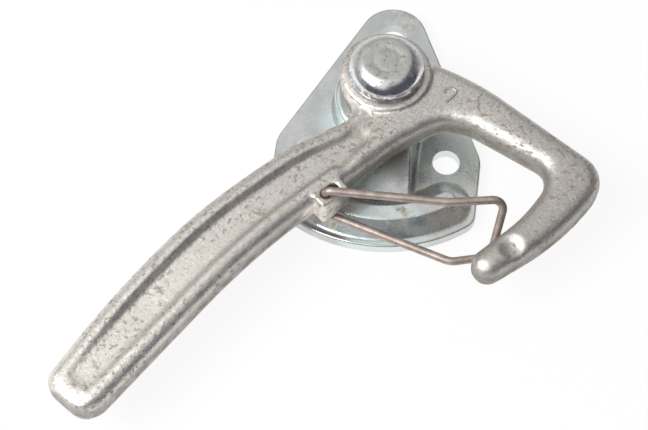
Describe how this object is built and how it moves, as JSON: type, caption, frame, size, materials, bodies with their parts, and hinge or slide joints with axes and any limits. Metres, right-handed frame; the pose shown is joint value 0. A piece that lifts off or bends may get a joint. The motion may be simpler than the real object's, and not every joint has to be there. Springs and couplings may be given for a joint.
{
  "type": "hook latch",
  "caption": "Hook latch for a side board: a pressed base plate with bolt ears carries a riveted, grooved lever with a curved hook, and a sprung wire catch closes the hook's mouth.",
  "frame": {"origin": "on the pivot's axis, in the plane of the base plate's back", "axes": "+Z along the pivot's axis, out of the mounting surface towards the rivet's head; +Y towards the single bolt hole; +X towards the hook's mouth side in the pose shown"},
  "size_m": [0.1571, 0.1659, 0.0348],
  "materials": {
    "plate_zinc": "zinc plated, satin, with tan stains",
    "rivet_zinc": "zinc plated, polished dome with a matt flat",
    "forged_zinc": "zinc plated forging, grainy, with brown pits",
    "spring_wire": "satin spring steel with a brown tint"
  },
  "bodies": {
    "base": {"base_plate": "plate_zinc", "pivot_rivet": "rivet_zinc"},
    "lever": {"lever": "forged_zinc"},
    "catch": {"spring_catch": "spring_wire"}
  },
  "joints": [
    {"name": "lever_pivot", "type": "hinge", "parent": "base", "child": "lever", "pos_m": [0, 0, 0.02085], "axis": [0, 0, 1], "continuous": true},
    {"name": "catch_pivot", "type": "hinge", "parent": "lever", "child": "catch", "pos_m": [-0.0136, -0.0459, 0.02085], "axis": [0, 0, 1], "range_deg": [0, 27], "stiffness_Nm_per_rad": 0.4, "springref_deg": -17.19}
  ]
}
